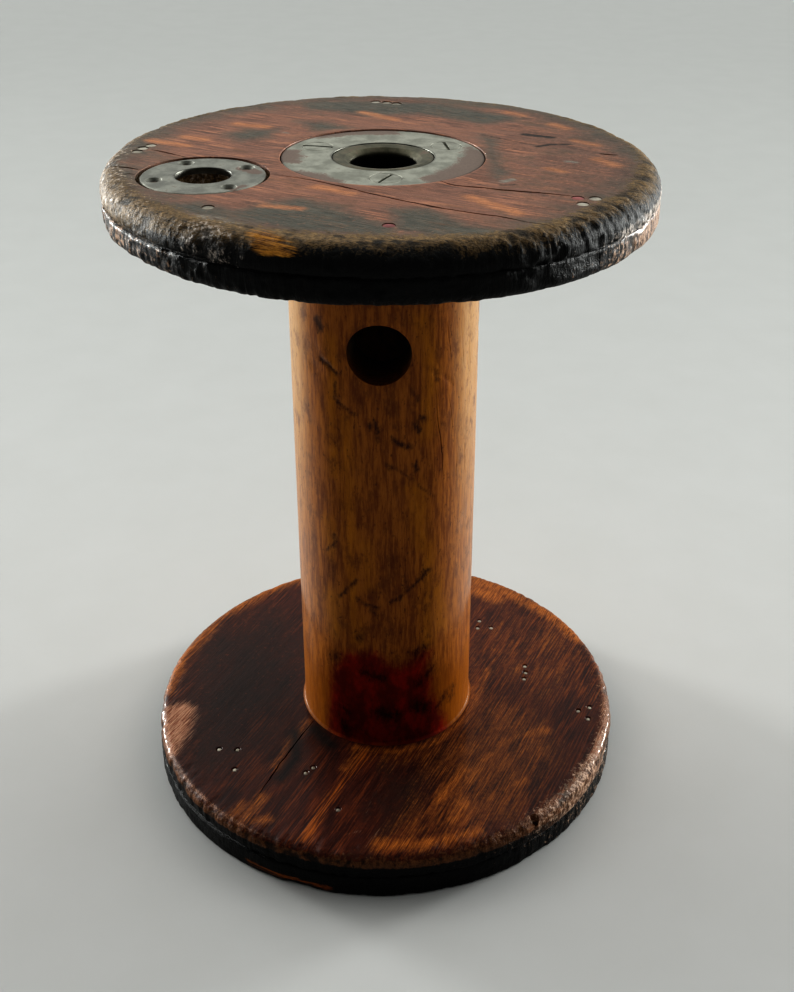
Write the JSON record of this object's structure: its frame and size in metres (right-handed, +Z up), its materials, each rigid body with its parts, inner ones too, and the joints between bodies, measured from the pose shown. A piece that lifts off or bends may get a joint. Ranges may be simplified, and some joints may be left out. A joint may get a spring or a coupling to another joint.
{
  "type": "textile mill bobbin",
  "caption": "Wooden mill bobbin: turned barrel between two thick round heads, with steel centre plates, spindle bushes, an off-centre driving hole and a hole in the barrel's side.",
  "frame": {"origin": "centre of the lower head's underside, on the spindle axis", "axes": "+Z up along the spindle axis, -Y out of the hole in the barrel's side, +X to the right seen from that side"},
  "size_m": [0.2032, 0.2032, 0.266],
  "materials": {
    "barrel_wood": "worn varnish, satin",
    "upper_head_wood": "worn red-brown stain with a dark, rough rim",
    "lower_head_wood": "dark red-brown varnish, glossy, with a worn rim",
    "plate_steel": "dull, with brown rust film",
    "bush_iron": "turned, darkened",
    "screw_steel": "dull",
    "pin_brass": "darkened",
    "nail_steel": "dull"
  },
  "bodies": {
    "root": {"barrel": "barrel_wood", "upper_head_outer_ply": "upper_head_wood", "upper_head_inner_ply": "upper_head_wood", "lower_head_inner_ply": "lower_head_wood", "lower_head_outer_ply": "lower_head_wood", "upper_centre_plate": "plate_steel", "lower_centre_plate": "plate_steel", "upper_bush": "bush_iron", "lower_bush": "bush_iron", "upper_plate_screws": "screw_steel", "lower_plate_screws": "screw_steel", "drive_plate": "plate_steel", "drive_plate_pins": "pin_brass", "upper_head_nails": "nail_steel", "lower_head_nails": "nail_steel"}
  },
  "joints": []
}
